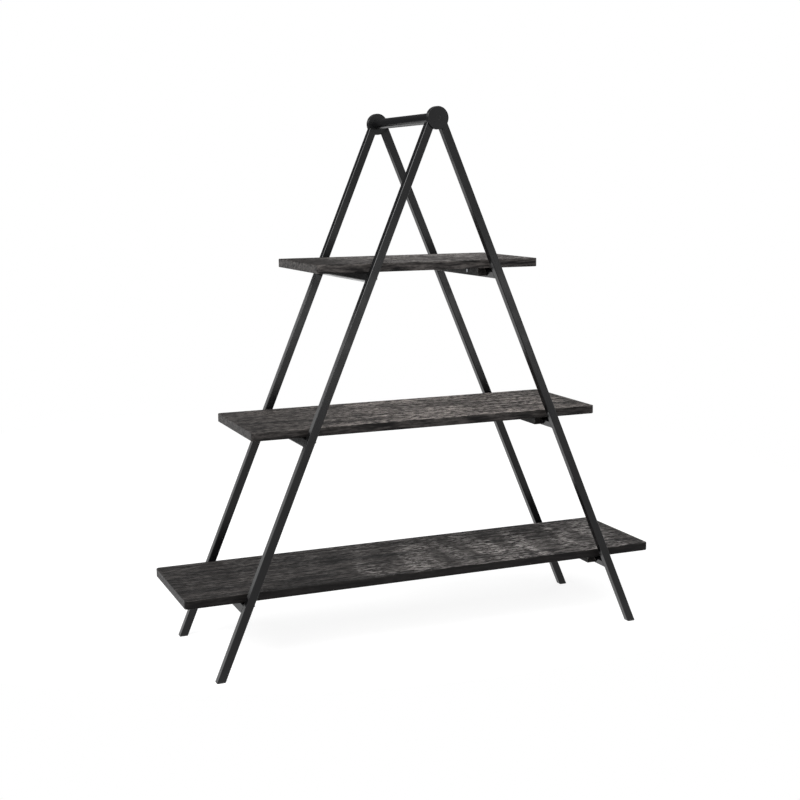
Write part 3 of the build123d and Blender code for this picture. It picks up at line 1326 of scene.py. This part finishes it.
@dataclass
class BattenFixings:
    """Locating pins and countersunk cross-recess screws of one frame, two in each batten.

    Attributes:
        side: Side of the stand, left or right.
        head: Radius of a screw's head, in metres.
        shank: Radius of its shank, in metres.
        length: Its whole length, in metres.
        tip: Radius of its tip, as a share of the shank's.
        spacing: Distance between a batten's two screws, in metres.
        arms: Number of arms of the recess.
        arm: Half-length and half-width of one arm, in metres.
        recess: Depth of the recess, in metres.
        recess_floor: Size of the recess at its floor, as a share of its mouth.
        facets: Corners of the head and the shank.
    """

    side: str
    head: float = 0.0039
    shank: float = 0.0019
    length: float = 0.029
    tip: float = 0.3
    spacing: float = 0.140
    arms: int = 4
    arm: tuple[float, float] = (0.0023, 0.00055)
    recess: float = 0.0016
    recess_floor: float = 0.5
    facets: int = 32

    def dress(self, zinc: bpy.types.Material) -> None:
        """Give the locating pins their plating."""
        dress_node(f"{self.side}_shelf_pins", zinc)

    def circle(
        self, mesh: bmesh.types.BMesh, centre: Vector, radius: float
    ) -> list[bmesh.types.BMVert]:
        """Draw a ring of vertices square to X.

        Args:
            mesh: The mesh that the ring joins.
            centre: Middle of the ring.
            radius: Its radius, in metres.

        Returns:
            The vertices, in order.
        """
        ring = []
        for index in range(self.facets):
            angle = math.tau * index / self.facets
            offset = Vector((0, math.cos(angle), math.sin(angle))) * radius
            ring.append(mesh.verts.new(centre + offset))
        return ring

    def cross(
        self, mesh: bmesh.types.BMesh, centre: Vector, scale: float = 1.0
    ) -> list[bmesh.types.BMVert]:
        """Draw the corners of the recess, square to X.

        Args:
            mesh: The mesh that the corners join.
            centre: Middle of the recess.
            scale: Size of the cross, as a share of the recess's mouth.

        Returns:
            The vertices, in order.
        """
        long, short = self.arm
        ring = []
        for turn in range(self.arms):
            swing = Matrix.Rotation(math.tau * turn / self.arms, 3, "X")
            for outward, sideways in ((long, -short), (long, short), (short, short)):
                offset = swing @ Vector((0, outward, sideways)) * scale
                ring.append(mesh.verts.new(centre + offset))
        return ring

    def add_screw(self, mesh: bmesh.types.BMesh, centre: Vector, inward: Vector) -> None:
        """Add one screw, with its flat head at the centre and its shank running inward.

        Args:
            mesh: The mesh that the screw joins.
            centre: Middle of the head.
            inward: Direction into the batten.
        """
        rim = self.circle(mesh, centre, self.head)
        mouth = self.cross(mesh, centre)
        floor = self.cross(mesh, centre + inward * self.recess, self.recess_floor)
        neck = self.circle(mesh, centre + inward * (self.head - self.shank), self.shank)
        tip = self.circle(mesh, centre + inward * self.length, self.shank * self.tip)

        edges = []
        for ring in (rim, mouth):
            for index, vertex in enumerate(ring):
                edges.append(mesh.edges.new((vertex, ring[(index + 1) % len(ring)])))
        bmesh.ops.triangle_fill(mesh, use_beauty=True, edges=edges)
        for first, second in ((mouth, floor), (rim, neck), (neck, tip)):
            for index, vertex in enumerate(first):
                following = (index + 1) % len(first)
                mesh.faces.new((vertex, first[following], second[following], second[index]))
        mesh.faces.new(floor)
        mesh.faces.new(tip)

    def build(self, zinc: bpy.types.Material) -> None:
        """Make the six screws in place of the plain ones.

        Args:
            zinc: Finish of the screws.
        """
        sign = SIDES[self.side]
        mesh = bmesh.new()
        for tier in TIERS:
            low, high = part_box(f"{self.side}_{tier}_batten")
            face = low.x if sign > 0 else high.x
            for end in (-1, 1):
                centre = Vector((face, end * self.spacing / 2, (low.z + high.z) / 2))
                self.add_screw(mesh, centre, Vector((sign, 0, 0)))
        name = f"{self.side}_cross_recess_screws"
        screws = add_piece(name, shell_mesh(name, mesh), zinc, f"{self.side}_frame")
        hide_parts(f"{self.side}_batten_screws")


# ---------------------------------------------------------------- studio


@dataclass(frozen=True)
class CameraSetup:
    """Where the camera stands and how it looks.

    Attributes:
        position: Place of the lens, in metres.
        heading: Turn of the view from +Y towards +X, in degrees.
        tilt: Angle of the view above the horizon, in degrees.
        roll: Turn of the camera about its own view, in degrees.
        lens: Focal length, in millimetres.
        sensor: Width of the sensor, in millimetres.
        reach: Nearest and furthest distance that the camera sees, in metres.
    """

    position: Point
    heading: float
    tilt: float
    roll: float
    lens: float
    sensor: float = 36.0
    reach: tuple[float, float] = (0.05, 100.0)

    def turn(self) -> Matrix:
        """Work out how the camera is turned.

        Returns:
            The rotation from the camera's own axes to the scene's.
        """
        heading = math.radians(self.heading)
        tilt = math.radians(self.tilt)
        roll = math.radians(self.roll)
        forward = Vector(
            (
                math.sin(heading) * math.cos(tilt),
                math.cos(heading) * math.cos(tilt),
                math.sin(tilt),
            )
        )
        level = Vector((math.cos(heading), -math.sin(heading), 0))
        upright = level.cross(forward)
        right = level * math.cos(roll) + upright * math.sin(roll)
        up = upright * math.cos(roll) - level * math.sin(roll)
        return Matrix((right, up, -forward)).transposed().to_4x4()

    def make(self) -> None:
        """Create the camera and make it the scene's own."""
        data = bpy.data.cameras.new("camera")
        data.sensor_width = self.sensor
        data.lens = self.lens
        data.clip_start, data.clip_end = self.reach
        camera = place_object("camera", data)
        camera.matrix_world = Matrix.Translation(Vector(self.position)) @ self.turn()
        bpy.context.scene.camera = camera


@dataclass(frozen=True)
class Softbox:
    """A rectangular soft lamp.

    Attributes:
        name: Name of the lamp.
        position: Place of its middle, in metres.
        target: Point that it faces, in metres.
        size: Its width and height, in metres.
        power: Power, in watts.
    """

    name: str
    position: Point
    target: Point
    size: tuple[float, float]
    power: float

    def make(self) -> None:
        """Hang the lamp."""
        data = bpy.data.lights.new(self.name, "AREA")
        data.shape = "RECTANGLE"
        data.size, data.size_y = self.size
        data.energy = self.power
        lamp = place_object(self.name, data)
        lamp.location = self.position
        aim = Vector(self.target) - Vector(self.position)
        lamp.rotation_euler = aim.to_track_quat("-Z", "Y").to_euler()


def background_rays(tree: Tree) -> Socket:
    """Tell the rays that see the white background from those that only light the stand.

    Args:
        tree: The node tree that the nodes join.

    Returns:
        1 for the camera's rays and for those in gloss and glass, and 0 for all others.
    """
    path = add_node(tree, "ShaderNodeLightPath")
    seen = path.outputs["Is Camera Ray"]
    for kind in ("Is Glossy Ray", "Is Transmission Ray"):
        seen = add_node(
            tree,
            "ShaderNodeMath",
            links={FIRST: seen, SECOND: path.outputs[kind]},
            operation="MAXIMUM",
        ).outputs["Value"]
    return seen


def split_by_ray(tree: Tree, rays: Socket, others: Socket, chosen: Socket) -> None:
    """End a studio material that shows one surface to some rays and another to the rest.

    Args:
        tree: The node tree that the nodes join.
        rays: 1 for the rays that see the chosen surface.
        others: Surface that all other rays see.
        chosen: Surface that the chosen rays see.
    """
    surface = add_node(
        tree, "ShaderNodeMixShader", links={FIRST: rays, SECOND: others, THIRD: chosen}
    )
    add_node(tree, "ShaderNodeOutputMaterial", links={"Surface": surface.outputs["Shader"]})


@dataclass
class Studio:
    """White paper floor and background in a dim room, the flag and the soft lamps.

    Attributes:
        floor_radius: Radius of the round floor, in metres.
        floor_centre: Place of its middle, in metres: most of the paper lies behind the stand.
        floor_segments: Corners of the floor.
        ceiling: Colour of the room overhead.
        reflector: Colour of the low white boards that stand around the set.
        floorboards: Colour of the room's own floor around the paper.
        reflector_top: Upward share of a direction at which the ceiling gives way to the boards.
        reflector_foot: Upward share of a direction at which the boards stand on the floor.
        paper: Colour of the floor.
        shade: How much of the floor's white the object's shadow can take away.
        glow: Strength of the white that the paper shows without any light.
        cloth: Colour that the flag shows in the gloss.
        flag_place: Distance of the flag behind the stand's middle, in metres.
        flag_foot: Height of the flag's lower edge above the floor, in metres.
        flag_size: Width and height of the flag, in metres.
        lamps: The soft lamps around the set.
    """

    floor_radius: float = 1.9
    floor_centre: Point = (0.2, 1.5, 0.0)
    floor_segments: int = 96
    ceiling: str = "#262627"
    reflector: str = WHITE
    floorboards: str = "#606060"
    reflector_top: Fade = Fade(0.02, -0.04)
    reflector_foot: Fade = Fade(-0.30, -0.20)
    paper: str = "#f2f2f2"
    shade: float = 0.3
    glow: float = 0.9
    cloth: str = "#5c5c5d"
    flag_place: float = 0.9
    flag_foot: float = 0.98
    flag_size: tuple[float, float] = (6.0, 2.4)
    lamps: tuple[Softbox, ...] = (
        Softbox("key_softbox", (-3.3, -1.5, 2.9), (0, 0, 0.7), (4.2, 1.5), 245.0),
        Softbox("strip_softbox", (1.4, -4.3, 0.35), (0, 0, 0.7), (2.6, 0.5), 9.0),
        Softbox("top_softbox", (0.2, -2.0, 3.6), (0, 0, 0.6), (2.6, 2.2), 64.0),
        Softbox("rear_softbox", (2.6, 2.6, 3.2), (0, 0, 0.5), (2.4, 1.6), 20.0),
        Softbox("fill_softbox", (-0.2, -4.4, 3.0), (0, 0, 0.9), (2.4, 1.6), 40.0),
    )

    def build(self) -> None:
        """Build the world, the floor, the flag and the lamps."""
        self.make_world()
        self.make_floor()
        self.make_flag()
        for lamp in self.lamps:
            lamp.make()

    def make_world(self) -> None:
        """White to the camera, to gloss and to glass, and a dim room that lights the stand."""
        world = bpy.data.worlds.new("studio")
        bpy.context.scene.world = world
        world.use_nodes = True
        tree = world.node_tree
        direction = add_node(tree, "ShaderNodeTexCoord").outputs["Generated"]
        height = add_node(
            tree, "ShaderNodeSeparateXYZ", links={"Vector": direction}
        ).outputs["Z"]
        low = coated(
            tree, self.floorboards, (self.reflector, self.reflector_foot.over(tree, height))
        )
        seen = coated(
            tree,
            self.ceiling,
            (low, self.reflector_top.over(tree, height)),
            (WHITE, background_rays(tree)),
        )
        tree.links.new(seen, tree.nodes["Background"].inputs["Color"])

    def make_floor(self) -> None:
        """Lay the round white floor, which keeps only a faint shadow of the object."""
        mesh = bmesh.new()
        bmesh.ops.create_circle(
            mesh, cap_ends=True, segments=self.floor_segments, radius=self.floor_radius
        )
        bmesh.ops.translate(mesh, vec=self.floor_centre, verts=mesh.verts)
        floor = place_object("floor", keep_mesh("floor", mesh))

        material = bare_material("white_paper_sweep")
        tree = material.node_tree
        lit = add_node(tree, "ShaderNodeBsdfDiffuse", {"Color": linear(self.paper)})
        shaded = add_node(
            tree, "ShaderNodeBsdfDiffuse", {"Color": (self.shade, self.shade, self.shade, 1.0)}
        )
        glow = add_node(tree, "ShaderNodeEmission", {"Strength": self.glow})
        bright = add_node(
            tree,
            "ShaderNodeAddShader",
            links={FIRST: shaded.outputs["BSDF"], SECOND: glow.outputs["Emission"]},
        )
        split_by_ray(tree, background_rays(tree), lit.outputs["BSDF"], bright.outputs["Shader"])
        floor.data.materials.append(material)

    def make_flag(self) -> None:
        """Hang a dim grey flag behind the stand, which only gloss sees and which lights nothing."""
        width, height = self.flag_size
        mesh = bmesh.new()
        corners = ((-0.5, 0.0), (0.5, 0.0), (0.5, 1.0), (-0.5, 1.0))
        mesh.faces.new(
            [
                mesh.verts.new((across * width, self.flag_place, self.flag_foot + up * height))
                for across, up in corners
            ]
        )
        flag = place_object("black_flag", keep_mesh("black_flag", mesh))

        material = bare_material("black_flag_cloth")
        tree = material.node_tree
        gloss = add_node(tree, "ShaderNodeLightPath").outputs["Is Glossy Ray"]
        clear = add_node(tree, "ShaderNodeBsdfTransparent")
        cloth = add_node(tree, "ShaderNodeEmission", {"Color": linear(self.cloth)})
        split_by_ray(tree, gloss, clear.outputs["BSDF"], cloth.outputs["Emission"])
        flag.data.materials.append(material)


CAMERA = CameraSetup(
    position=(-1.2804, -3.0186, 1.1168),
    heading=22.66,
    tilt=-9.2475,
    roll=-0.4756,
    lens=60.77,
)


def main() -> None:
    """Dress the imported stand, add its welds and screws, and set up the studio."""
    logging.basicConfig(level=logging.INFO)
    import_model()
    CAMERA.make()

    steel = STEEL_COAT.make()
    plastic = FOOT_PLASTIC.make()
    zinc = ZINC.make()
    batten_wood = BATTEN_WOOD.make()

    for side in SIDES:
        frame = LadderFrame(side)
        frame.dress(steel, plastic)
        frame.weld(steel)
        fixings = BattenFixings(side)
        fixings.dress(zinc)
        fixings.build(zinc)
    hinge = Hinge()
    hinge.dress(steel, zinc)
    hinge.weld(steel)
    for tier in TIERS:
        Shelf(tier).dress(BOARD_WOOD[tier].make(), batten_wood)

    Studio().build()
    bpy.context.scene.view_settings.view_transform = "Standard"


if __name__ == "__main__":
    main()
